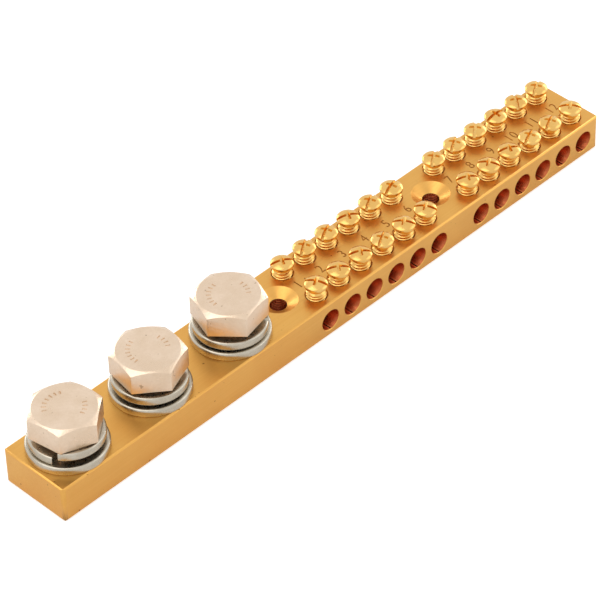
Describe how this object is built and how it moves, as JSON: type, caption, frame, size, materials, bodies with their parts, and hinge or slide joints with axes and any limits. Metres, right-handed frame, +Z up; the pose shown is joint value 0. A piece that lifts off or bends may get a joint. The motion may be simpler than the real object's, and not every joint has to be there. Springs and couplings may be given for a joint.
{
  "type": "earth terminal bar",
  "caption": "Brass earth terminal bar with a row of cable tunnels, paired clamp screws, hexagon stud bolts on washers and two countersunk fixing holes.",
  "frame": {"origin": "middle of the bar's length and width, on its base", "axes": "+X along the bar, from the bolt end to the cable end; -Y out of the cable tunnels' front mouths; +Z up out of the clamp screw face"},
  "size_m": [0.183, 0.02, 0.0222],
  "materials": {
    "bar_brass": "satin drawn brass",
    "screw_brass": "bright turned brass",
    "bolt_steel": "zinc plated, satin",
    "washer_steel": "zinc plated, bright"
  },
  "bodies": {
    "root": {"bar": "bar_brass", "flat_washer_1": "washer_steel", "flat_washer_2": "washer_steel", "flat_washer_3": "washer_steel", "spring_washer_1": "washer_steel", "spring_washer_2": "washer_steel", "spring_washer_3": "washer_steel", "bolt_1": "bolt_steel", "bolt_2": "bolt_steel", "bolt_3": "bolt_steel", "clamp_screw_front_1": "screw_brass", "clamp_screw_front_2": "screw_brass", "clamp_screw_front_3": "screw_brass", "clamp_screw_front_4": "screw_brass", "clamp_screw_front_5": "screw_brass", "clamp_screw_front_6": "screw_brass", "clamp_screw_front_7": "screw_brass", "clamp_screw_front_8": "screw_brass", "clamp_screw_front_9": "screw_brass", "clamp_screw_front_10": "screw_brass", "clamp_screw_front_11": "screw_brass", "clamp_screw_front_12": "screw_brass", "clamp_screw_back_1": "screw_brass", "clamp_screw_back_2": "screw_brass", "clamp_screw_back_3": "screw_brass", "clamp_screw_back_4": "screw_brass", "clamp_screw_back_5": "screw_brass", "clamp_screw_back_6": "screw_brass", "clamp_screw_back_7": "screw_brass", "clamp_screw_back_8": "screw_brass", "clamp_screw_back_9": "screw_brass", "clamp_screw_back_10": "screw_brass", "clamp_screw_back_11": "screw_brass", "clamp_screw_back_12": "screw_brass"}
  },
  "joints": []
}
